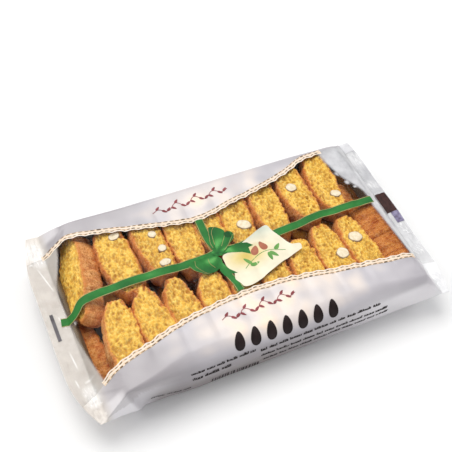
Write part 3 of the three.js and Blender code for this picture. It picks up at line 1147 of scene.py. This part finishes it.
def cutting_marks(film):
    """The sensor marks printed on the two fins: x, from and to across, width."""
    for name, x, start, end, width, columns in (
        ("mark_left", -165.2, 12.5, -14, 2.9, 2),
        ("mark_right", 165.6, 25, 1, 11.0, 6),
        ("mark_pale", 167.6, 1, -12, 7.6, 4),
    ):
        mark = Print(film, name)
        mark.strip([(x, start), (x, end)], width, columns=columns)
        mark.build()


# --- Biscuit slices -----------------------------------------------------------------

SLICE_GRID = (130, 46, 10)  # rows, columns and the crust's layers
SLICE_THICKNESS = 20.5
TIPPED_THICKNESS = 25.0  # of the slice that stands on its side
LOW_THICKNESS = 17.0
RIM_ROUND = 1.3
DOME_SHARE, BASE_SHARE = 0.58, 0.42  # of the height, on either side of y's axis


def slice_outline(t, height, offset, rng):
    """The x of the ragged dome and base of a slice, for t from -1 to 1 along it."""
    skew = rng.uniform(-0.16, 0.16)
    lean = np.clip(t * (1 - skew * t), -1, 1)
    blunt = rng.uniform(0.05, 0.2), rng.uniform(0.12, 0.4)
    dome = blunt[0] + (1 - blunt[0]) * (1 - np.abs(lean) ** 2.2) ** 0.6
    base = blunt[1] + (1 - blunt[1]) * (1 - np.abs(t) ** 4) ** 0.6
    ragged_dome, ragged_base, fine_dome, fine_base = (
        noise_values([(k * pitch, a, b) for k in t], offset)
        for pitch, a, b in ((5.5, 1.0, 2.0), (9.0, 4.0, 7.0), (30.0, 2.0, 9.0), (34.0, 6.0, 3.0))
    )
    left = -DOME_SHARE * height * dome - 1.6 * ragged_dome - 0.95 * fine_dome
    return left, BASE_SHARE * height * base + 1.7 * ragged_base + 1.1 * fine_base


def slice_mesh(length, height, thickness, seed, fine=1.0):
    """A slice lying on its back, cut face up at z = 0: +x is its flat base, -x its
    baked dome, y its long way.  Returns vertices, faces and attributes."""
    rng = random.Random(seed)
    rows, columns, layers = (max(6, round(k * fine)) for k in SLICE_GRID)
    offset = Vector([rng.uniform(0, 90) for _ in range(3)])
    t = np.sin(np.linspace(-math.pi / 2, math.pi / 2, rows + 1) * 0.93) / math.sin(math.pi / 2 * 0.93)
    t = 0.55 * t + 0.45 * np.linspace(-1, 1, rows + 1)
    left, right = (side[:, None] for side in slice_outline(t, height, offset, rng))
    v = np.linspace(0.0, 1.0, columns + 1)
    v = 0.5 - 0.5 * np.cos(math.pi * v) * 0.35 - 0.5 * (1 - 2 * v) * 0.65
    x = left * (1 - v) + right * v
    y = np.repeat((t * length / 2)[:, None], columns + 1, axis=1)
    rim = np.minimum(np.minimum(x - left, right - x), (1 - np.abs(t))[:, None] * length / 2)

    relief, pit_shade = cut_relief(x, y, rim, offset, rng, length, height)
    top = np.stack([x, y, relief], axis=-1).reshape(-1, 3)
    ragged = (rim + 0.9 * relief).ravel()
    vertices = [top]
    tints = {
        "crust": [ease(1.7, 0.5, ragged)], "pit_shade": [pit_shade.ravel()],
        "rim": [ease(1.3, 0.2, ragged) * 0.7], "edge": [0.55 * ease(5.0, 0.0, ragged)],
    }
    loop = [(0, j) for j in range(columns + 1)] + [(i, columns) for i in range(1, rows + 1)]
    loop += [(rows, j) for j in range(columns - 1, -1, -1)] + [(i, 0) for i in range(rows - 1, 0, -1)]
    loop = [i * (columns + 1) + j for i, j in loop]
    rim_points = top[loop]
    outward = loop_normals(rim_points)
    for share in np.arange(1, layers + 1) / layers:
        swell = 1.1 * math.sin(math.pi * min(1.0, share * 1.02)) + 0.5 * share
        bumps, grit = (
            noise_values([(px / size, py / size, share * drift) for px, py, _ in rim_points], offset)
            for size, drift in ((7.0, 2.6), (2.2, 8.0))
        )
        ring = rim_points.copy()
        ring[:, :2] += outward * (swell + 0.7 * bumps + 0.25 * grit)[:, None]
        ring[:, 2] = lerp(rim_points[:, 2], -thickness, share)
        vertices.append(ring)
        flank = {"crust": 1.0, "pit_shade": 0.0, "rim": max(0.0, 0.5 - 3.0 * share), "edge": 0.0}
        for key, value in flank.items():
            tints[key].append(np.full(len(ring), value))
    tints = {key: np.concatenate(parts) for key, parts in tints.items()}
    return np.vstack(vertices), slice_faces(rows, columns, layers, loop), tints


def crumb_height(x, y, offset):
    """Slow swells and crumbs, drawn out the long way of the slice."""
    p = Vector((x, 0.5 * y, 0.0))
    crumbs = 0.85 * noise.noise(p / 1.45 + offset) + 0.4 * noise.noise(p / 0.8 + offset)
    return 0.7 * noise.noise(p / 8.0 + offset) + crumbs


def cut_relief(x, y, rim, offset, rng, length, height):
    """Height of the crumbly cut face, and how deep in a pit each point is, for the painted
    shade in its pits: ragged strands that run roughly the long way of the slice, with hollows between."""
    relief = np.array([[crumb_height(a, b, offset) for a, b in zip(*row)] for row in zip(x, y)])
    pit_shade = np.clip(0.1 - 0.9 * relief, 0.0, 0.7)
    for _ in range(int(length * height / 16.0)):
        px, py = rng.uniform(-0.55, 0.42) * height, rng.uniform(-0.5, 0.5) * length
        size, stretch, turn = rng.uniform(0.5, 1.3) ** 1.2, rng.uniform(1.2, 2.6), rng.gauss(math.pi / 2, 0.6)
        dx, dy = x - px, y - py
        a = (dx * math.cos(turn) + dy * math.sin(turn)) / (size * stretch)
        b = (-dx * math.sin(turn) + dy * math.cos(turn)) / size
        hollow = np.exp(-((a * a + b * b) ** 1.5)) * rng.uniform(0.5, 1.0)
        relief -= 1.2 * hollow
        pit_shade = np.maximum(pit_shade, 0.85 * hollow)
    relief -= RIM_ROUND * (1 - ramp(0.0, 1.6, rim)) ** 2
    return relief, pit_shade * ramp(0.3, 1.4, rim)


def loop_normals(points):
    """Outward directions in plan at each point of a closed loop."""
    tangent = np.roll(points, -2, axis=0)[:, :2] - np.roll(points, 2, axis=0)[:, :2]
    return unit(np.column_stack([tangent[:, 1], -tangent[:, 0]]))


def slice_faces(rows, columns, layers, loop):
    """The cut face's quads, the crust's rings, and the underside."""
    faces, size = grid_faces(rows, columns), len(loop)
    first = (rows + 1) * (columns + 1)
    for a, b, c, d in ring_faces(layers + 1, size, first - size):
        faces.append(tuple(loop[k - first] if k < first else k for k in (b, a, d, c)))
    last = list(range(first + (layers - 1) * size, first + layers * size))
    right, left = last[columns : columns + rows + 1], [last[0], *last[: 2 * columns + rows - 1 : -1]]
    faces.append((left[1], right[1], *last[columns::-1]))
    for i in range(1, rows - 1):
        faces.append((left[i], left[i + 1], right[i + 1], right[i]))
    faces.append((right[-2], left[-2], *last[2 * columns + rows : columns + rows - 1 : -1]))
    return faces


FILM_CLEARANCE = 1.7
SHOWN_HALF_WIDTH = 70.0  # the part of the pack in which a slice is fitted to the film
WALL_REACH = (-78.0, 84.0)  # the slices stay between these, from front to back

# Each slice: name, (x, y) of its cut face's middle, yaw and tilt in degrees (a
# positive tilt lowers its left side), length, height, and its almonds, each with
# the (x, y) where it shows, its length and its width.
BACK_SLICES = [
    ("back_1", (-138.2, 36.5), -10.5, 49, 88, 31, []),
    ("back_2", (-95, 41), 3, 5, 80, 30, [(-92, 60, 11, 9)]),
    ("back_3", (-62, 45), 3, -3, 76, 27, [(-60, 50, 9, 8), (-57, 33, 9, 8), (-60, 18, 12, 8)]),
    ("back_4", (-33, 43), -3, 4, 78, 29, []),
    ("back_5", (-7, 44), -4, 2, 76, 26, []),
    ("back_6", (20, 41), -7, 4, 80, 29, [(21, 30, 15, 11)]),
    ("back_7", (53, 44), -3, -4, 76, 29, []),
    ("back_8", (85, 49), 1, 3, 74, 28, [(81, 53, 12, 10)]),
    ("back_9", (115, 50), -7, 3, 78, 27, [(117, 31, 11, 9)]),
]
FRONT_SLICES = [
    ("front_1", (-116, -42), -4, -3, 82, 29, []),
    ("front_2", (-86, -38), 8, 3, 82, 29, []),
    ("front_3", (-58, -38), 7, -4, 80, 28, []),
    ("front_4", (-30, -40), 3, 3, 80, 28, []),
    ("front_5", (-2, -42), 2, -3, 76, 26, []),
    ("front_6", (26, -40), -3, 3, 78, 27, []),
    ("front_7", (56, -40), -6, -4, 78, 28, []),
    ("front_8", (85, -34), 2, 4, 80, 27, [(90, -31, 13, 12)]),
    ("front_9", (113, -34), 3, -3, 80, 27, [(110, -19, 14, 13)]),
    ("front_10", (149.6, -21), 182, 78, 82, 23, []),
]
# Slices that have slipped down at the two ends, crust up, with their top's height.
LOW_SLICES = [
    ("low_left", (-129, -38), 9, -80, 80, 19, 22.0),
    ("low_right", (117, 32), -4, 60, 38, 24, 38.5),
]


def place_slice(vertices, centre, yaw, tilt, top_z=None):
    """Tilts and turns a slice, and lifts it to top_z or just under the film."""
    turn = Matrix.Rotation(math.radians(yaw), 3, "Z") @ Matrix.Rotation(math.radians(-tilt), 3, "Y")
    placed = vertices @ np.array(turn).T + np.array([*centre, 0.0])
    x, y, z = placed.T
    if top_z is None:
        room = top_height(x, y) - FILM_CLEARANCE - z
        lift = float(room[np.abs(y) < SHOWN_HALF_WIDTH].min())
    else:
        lift = top_z - float(z.max())
    z += lift
    y[:] = np.clip(y, *WALL_REACH)
    z[:] = np.clip(z, base_height(x) + 2 * FILM_CLEARANCE, ceiling(x, y) - FILM_CLEARANCE)
    return placed, turn, lift


def add_slices(rows, material, dark_material, almonds):
    for seed, (name, centre, yaw, tilt, length, height, spots) in enumerate(rows, 11):
        tipped = tilt > 60
        thickness = TIPPED_THICKNESS if tipped else SLICE_THICKNESS
        vertices, faces, tints = slice_mesh(length, height, thickness, seed * 7)
        placed, turn, lift = place_slice(vertices, centre, yaw, tilt)
        obj = new_object("slice_" + name, placed, faces, dark_material if tipped else material, tints)
        add_piece(obj, replaces=True)
        for k, place in enumerate(spots):
            add_almond(almonds, place, centre, turn, lift, seed * 10 + k)


def low_slices(material):
    for name, centre, yaw, tilt, length, height, top_z in LOW_SLICES:
        vertices, faces, tints = slice_mesh(length, height, LOW_THICKNESS, len(name) * 31, 0.7)
        placed, _, _ = place_slice(vertices, centre, yaw, tilt, top_z)
        add_piece(new_object("slice_" + name, placed, faces, material, tints), replaces=True)


def lower_layer(material):
    """The slices of the layer beneath, seen only through the gaps."""
    pile, rng = MeshPile(), random.Random(5)
    for row_y in (41, -39):
        for k in range(10):
            centre = (-115 + 28.0 * k + rng.uniform(-3, 3), row_y + rng.uniform(-3, 3))
            vertices, faces, tints = slice_mesh(92, 30, LOW_THICKNESS, 300 + k + row_y, 0.35)
            placed, _, _ = place_slice(vertices, centre, rng.uniform(-6, 6), rng.uniform(-6, 6), 23.0)
            pile.add(placed, faces, **tints)
    add_piece(pile.build("slices_lower_layer", material), replaces=True)


ALMOND_RISE = 0.95  # of a cut almond above the middle of the crumb
ALMOND_DROP = 2.2  # of its rim into the crumb, over the outer part of its radius
ALMOND_RINGS, ALMOND_COUNT = 9, 36


def add_almond(pile, place, centre, turn, lift, seed):
    """A cut almond set in a slice's face: a flat dome with a skin round its rim."""
    middle_x, middle_y, length, width = place
    local = np.array(turn.inverted()) @ np.array([middle_x - centre[0], middle_y - centre[1], 0.0])
    angle = random.Random(seed).uniform(-0.5, 0.5)
    points, skin = [(local[0], local[1], ALMOND_RISE)], [0.0]
    for r in np.arange(1, ALMOND_RINGS + 1) / ALMOND_RINGS:
        for m in range(ALMOND_COUNT):
            a = 2 * math.pi * m / ALMOND_COUNT
            wobble = 1.0 + 0.05 * math.sin(2 * a + seed) + 0.03 * math.sin(5 * a + seed)
            ex, ey = length / 2 * r * wobble * math.cos(a), width / 2 * r * wobble * math.sin(a)
            x = local[0] + ex * math.cos(angle) - ey * math.sin(angle)
            y = local[1] + ex * math.sin(angle) + ey * math.cos(angle)
            points.append((x, y, ALMOND_RISE * (1 - 0.4 * r**4) - ALMOND_DROP * max(0.0, r - 0.88) / 0.12))
            skin.append(float(ease(0.80, 0.92, r)))
    faces = [(0, 1 + m, 1 + (m + 1) % ALMOND_COUNT) for m in range(ALMOND_COUNT)]
    faces += [(a, d, c, b) for a, b, c, d in ring_faces(ALMOND_RINGS, ALMOND_COUNT, 1)]
    pile.add(np.array(points) @ np.array(turn).T + np.array([*centre, lift]), faces, skin=skin)


# --- Tray ------------------------------------------------------------------------------

TRAY = {"half_length": 151.0, "middle": 1.0, "half_width": 79.5, "corner": 24.0, "thickness": 0.5}
# From the lip inwards and down to the floor: how far out of the wall's top, and z.
TRAY_PROFILE = [
    (2.2, 28.6), (2.4, 29.7), (1.6, 30.0), (0.0, 30.0), (-0.8, 29.2), (-5.0, 15.0), (-8.5, 5.0),
    (-10.5, 2.6), (-14.0, 2.0),
]


def rounded_loop(half_x, half_y, radius, count=12):
    """A rounded rectangle's outline, anticlockwise."""
    points = []
    for quarter, (sx, sy) in enumerate(((1, 1), (-1, 1), (-1, -1), (1, -1))):
        for k in range(count + 1):
            a = math.pi / 2 * (quarter + k / count)
            x, y = sx * (half_x - radius), sy * (half_y - radius)
            points.append((x + radius * math.cos(a), y + radius * math.sin(a)))
    return points


def tray():
    """A thin formed tray: a lip, sloping walls and a flat floor, clear of the film
    where its ends rise."""
    rings = []
    for grow, z in TRAY_PROFILE:
        loop = rounded_loop(*(TRAY[key] + grow for key in ("half_length", "half_width", "corner")))
        ring = np.array([(x + TRAY["middle"], y, z) for x, y in loop])
        ring[:, 2] = np.maximum(z, base_height(ring[:, 0]) + FILM_CLEARANCE)
        rings.append(ring)
    count, size = len(rings), len(rings[0])
    floor = tuple(range((count - 1) * size, count * size))
    obj = new_object("tray", np.vstack(rings), [*ring_faces(count, size), floor], tray_material())
    shell = obj.modifiers.new("thickness", "SOLIDIFY")
    shell.thickness = TRAY["thickness"] * MM
    add_piece(obj, replaces=True)


# --- Stage, lights and camera ------------------------------------------------------------

CAMERA = {
    "azimuth": -29.64, "elevation": 52.91, "roll": 6.58, "lens": 63.8,
    "place": (-0.2101, -0.3441, 0.6187),
}
FLOOR_SIZE, FLOOR_DROP = 4000.0, 0.05

# Far soft lights, bright from the back and both sides and weak from the front:
# the direction each shines from, its strength, its softness in degrees and colour.
SUNS = {
    "back": ((-0.05, 0.48, 0.87), 2.0, 46.0, (1.0, 0.99, 0.97)),
    "left": ((-0.76, 0.26, 0.60), 1.0, 44.0, (1.0, 0.98, 0.96)),
    "right": ((0.70, 0.28, 0.66), 0.60, 44.0, (0.98, 0.99, 1.0)),
    "front": ((-0.50, -0.32, 0.80), 0.15, 44.0, (1.0, 1.0, 1.0)),
    "fill": ((0.35, -0.90, 0.22), 0.56, 50.0, (0.98, 0.98, 1.0)),
}
WORLD_COLOR, WORLD_STRENGTH = (0.98, 0.985, 1.0, 1.0), 0.35


def make_camera():
    """Looks down on the pack's front left corner; azimuth 0 would look along +Y."""
    azimuth, elevation, roll = (math.radians(CAMERA[k]) for k in ("azimuth", "elevation", "roll"))
    flat = math.cos(elevation)
    back = Vector((math.sin(azimuth) * flat, -math.cos(azimuth) * flat, math.sin(elevation)))
    right = Vector((math.cos(azimuth), math.sin(azimuth), 0.0))
    up = back.cross(right)
    turned_right = math.cos(roll) * right + math.sin(roll) * up
    turned_up = -math.sin(roll) * right + math.cos(roll) * up
    data = bpy.data.cameras.new("camera")
    data.lens, data.sensor_width = CAMERA["lens"], 36.0
    camera = link_object("camera", data)
    turn = Matrix((turned_right, turned_up, back)).transposed().to_4x4()
    camera.matrix_world = Matrix.Translation(CAMERA["place"]) @ turn
    bpy.context.scene.camera = camera


def make_floor():
    """A plain pale floor; its two greys are linear values."""
    n = Nodes("floor")
    tone = n.ramp(n.noise(3.0, 1.0), (0.3, (0.85, 0.85, 0.85)), (0.7, (0.87, 0.87, 0.87)))
    material = n.surface(tone, Roughness=0.9, Specular_IOR_Level=0.1)
    signs = ((-1, -1), (1, -1), (1, 1), (-1, 1))
    corners = [(sx * FLOOR_SIZE, sy * FLOOR_SIZE, -FLOOR_DROP) for sx, sy in signs]
    new_object("floor", corners, [(0, 1, 2, 3)], material)


def make_lights():
    for name, (towards, strength, softness, color) in SUNS.items():
        data = bpy.data.lights.new(name, "SUN")
        data.energy, data.angle, data.color = strength, math.radians(softness), color
        link_object(name, data).rotation_euler = Vector(towards).to_track_quat("Z", "Y").to_euler()
    world = bpy.data.worlds.new("studio")
    world.use_nodes = True
    background = world.node_tree.nodes["Background"]
    background.inputs["Color"].default_value = WORLD_COLOR
    background.inputs["Strength"].default_value = WORLD_STRENGTH
    bpy.context.scene.world = world
    bpy.context.scene.view_settings.view_transform = "Standard"


# --- Everything together -----------------------------------------------------------------


def main():
    film = Film()
    film_pieces(film)
    lace(film)
    ribbon_and_bow(film)
    tag(film)
    band_print(film)
    cutting_marks(film)
    biscuit = biscuit_material("biscuit")
    well_baked = biscuit_material("biscuit_well_baked", "dcc2a4")
    almonds = MeshPile()
    add_slices(BACK_SLICES, biscuit, well_baked, almonds)
    add_slices(FRONT_SLICES, biscuit, well_baked, almonds)
    add_piece(almonds.build("almonds", almond_material()), replaces=True)
    # The layer beneath gets a darker copy of the biscuit: painted shade.
    lower_layer(biscuit_material("biscuit_below_painted_shade", "9c8066"))
    # The slipped-down slices get a slightly darker copy of the biscuit: painted shade.
    low_slices(biscuit_material("biscuit_low_painted_shade", "f0e2d6"))
    tray()
    make_floor()
    make_camera()
    make_lights()


main()
